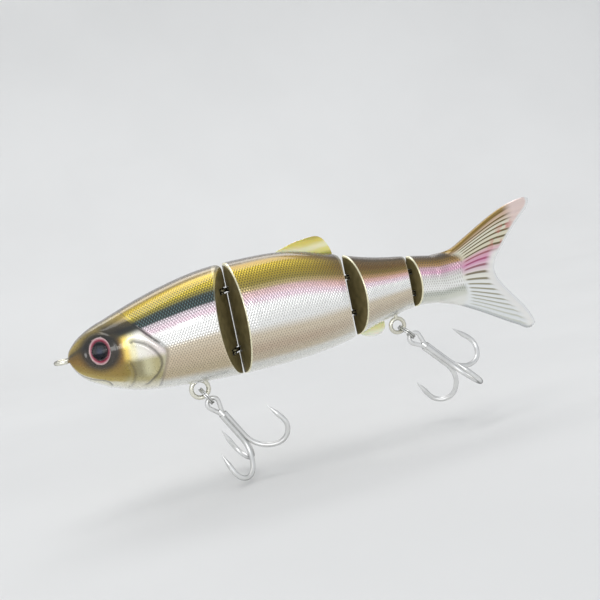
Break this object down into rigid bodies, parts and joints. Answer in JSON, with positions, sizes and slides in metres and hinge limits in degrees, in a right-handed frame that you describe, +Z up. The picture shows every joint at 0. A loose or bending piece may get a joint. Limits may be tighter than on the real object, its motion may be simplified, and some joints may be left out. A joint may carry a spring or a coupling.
{
  "type": "jointed swimbait",
  "caption": "Hard-bodied jointed fishing lure shaped like a small fish, with hinged segments, a fixed forked tail, domed eyes, a wire line tie and treble hooks on split rings.",
  "frame": {"origin": "centre of the line tie ring's hole, just ahead of the nose, in the plane the shells are split on", "axes": "+X from nose to tail, +Z up out of the back, +Y to the fish's right"},
  "size_m": [0.1717, 0.0302, 0.0734],
  "materials": {
    "foil_shell": "printed scale foil in gold, pink and pearl under a gloss clear coat",
    "tail_shell": "gloss pearl with gold and pink fades",
    "clear_fin": "translucent pale yellow, gloss",
    "iris": "metallic magenta ring with a pale rim",
    "pupil": "gloss black",
    "clear_dome": "clear gloss",
    "steel_wire": "drawn stainless wire",
    "ring_steel": "bright nickel",
    "hook_steel": "satin tin plating",
    "ballast": "dull cast metal"
  },
  "bodies": {
    "head": {"head_shell_left": "foil_shell", "head_shell_right": "foil_shell", "left_eye_disc": "iris", "left_pupil": "pupil", "left_eye_dome": "clear_dome", "right_eye_disc": "iris", "right_pupil": "pupil", "right_eye_dome": "clear_dome", "line_tie": "steel_wire", "head_weight": "ballast", "front_hanger": "steel_wire", "joint_1_pin": "steel_wire"},
    "mid": {"mid_shell_left": "foil_shell", "mid_shell_right": "foil_shell", "mid_weight": "ballast", "dorsal_fin": "clear_fin", "joint_1_upper_eye": "steel_wire", "joint_1_lower_eye": "steel_wire", "joint_2_pin": "steel_wire"},
    "rear": {"rear_shell_left": "foil_shell", "rear_shell_right": "foil_shell", "anal_fin": "clear_fin", "rear_hanger": "steel_wire", "joint_2_upper_eye": "steel_wire", "joint_2_lower_eye": "steel_wire", "joint_3_pin": "steel_wire"},
    "tail": {"tail_shell_left": "tail_shell", "tail_shell_right": "tail_shell", "joint_3_upper_eye": "steel_wire", "joint_3_lower_eye": "steel_wire"},
    "front_ring": {"front_split_ring": "ring_steel"},
    "front_hook": {"front_treble_hook": "hook_steel"},
    "rear_ring": {"rear_split_ring": "ring_steel"},
    "rear_hook": {"rear_treble_hook": "hook_steel"}
  },
  "joints": [
    {"name": "front_joint", "type": "hinge", "parent": "head", "child": "mid", "pos_m": [0.0553, 0, 0], "axis": [0, 0, 1], "range_deg": [-34, 34]},
    {"name": "middle_joint", "type": "hinge", "parent": "mid", "child": "rear", "pos_m": [0.0958, 0, 0], "axis": [0, 0, 1], "range_deg": [-29, 29]},
    {"name": "tail_joint", "type": "hinge", "parent": "rear", "child": "tail", "pos_m": [0.1184, 0, 0], "axis": [0, 0, 1], "range_deg": [-33, 33]},
    {"name": "front_ring_swing", "type": "hinge", "parent": "head", "child": "front_ring", "pos_m": [0.0414, 0, -0.0192], "axis": [0, 1, 0], "range_deg": [-28, 100]},
    {"name": "front_hook_sway", "type": "hinge", "parent": "front_ring", "child": "front_hook", "pos_m": [0.043, 0, -0.02209], "axis": [0.8746, 0, 0.4848], "range_deg": [-40, 40]},
    {"name": "rear_ring_swing", "type": "hinge", "parent": "rear", "child": "rear_ring", "pos_m": [0.1128, 0, -0.0141], "axis": [0, 1, 0], "range_deg": [-18, 84]},
    {"name": "rear_hook_sway", "type": "hinge", "parent": "rear_ring", "child": "rear_hook", "pos_m": [0.11557, 0, -0.01712], "axis": [0.7373, 0, 0.6756], "range_deg": [-40, 40]}
  ]
}
